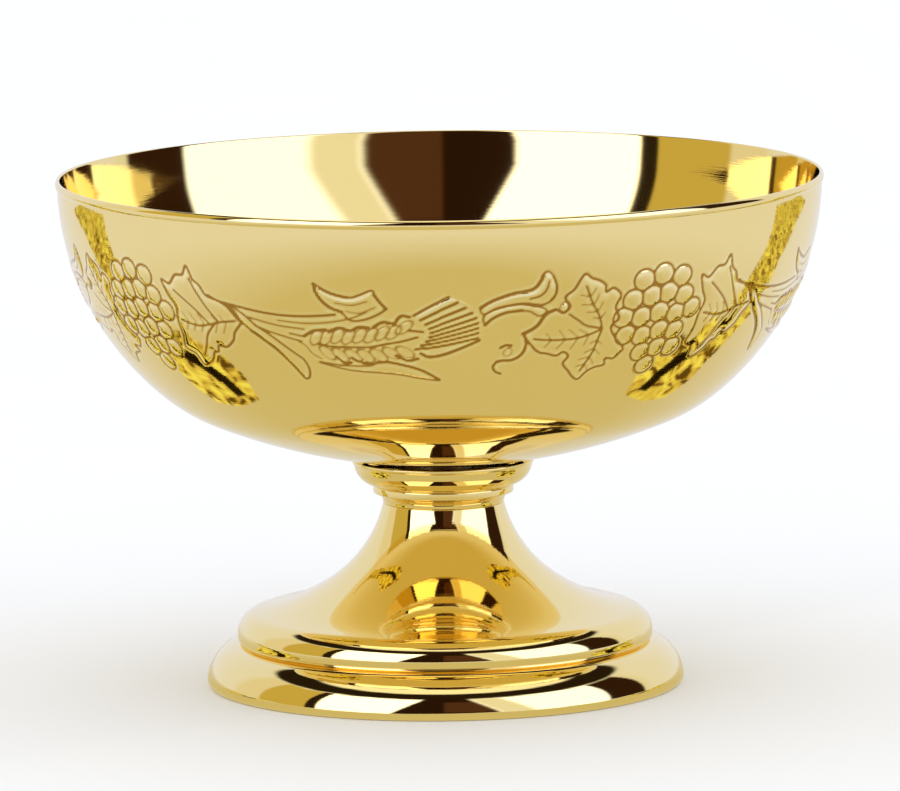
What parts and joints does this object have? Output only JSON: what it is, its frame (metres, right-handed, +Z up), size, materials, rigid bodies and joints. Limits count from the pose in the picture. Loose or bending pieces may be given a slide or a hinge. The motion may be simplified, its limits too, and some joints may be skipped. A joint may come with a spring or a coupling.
{
  "type": "footed communion bowl",
  "caption": "Wide gilt brass bowl with a band of vine, grapes and wheat in low relief, on a turned neck and a round two-tier foot, held together by a stud and nut.",
  "frame": {"origin": "centre of the flat sole that the foot stands on", "axes": "+Z up along the axis of the bowl; the bowl is round, so X and Y are free"},
  "size_m": [0.1524, 0.1524, 0.102],
  "materials": {
    "gilt_bowl": "mirror-polished gilding, ornament in low relief on the outside",
    "gilt_rim": "mirror-polished gilding",
    "gilt_collar": "mirror-polished gilding, turned",
    "gilt_foot": "mirror-polished gilding, spun",
    "plain_brass": "as turned, unplated",
    "zinc_steel": "zinc-plated steel hardware"
  },
  "bodies": {
    "root": {"bowl": "gilt_bowl", "rim_wire": "gilt_rim", "bowl_boss": "plain_brass", "upper_collar": "gilt_collar", "lower_collar": "gilt_collar", "foot_cone": "gilt_foot", "foot_base_ring": "gilt_foot", "tie_stud": "zinc_steel", "clamp_washer": "zinc_steel", "spring_washer": "zinc_steel", "hex_nut": "zinc_steel"}
  },
  "joints": []
}
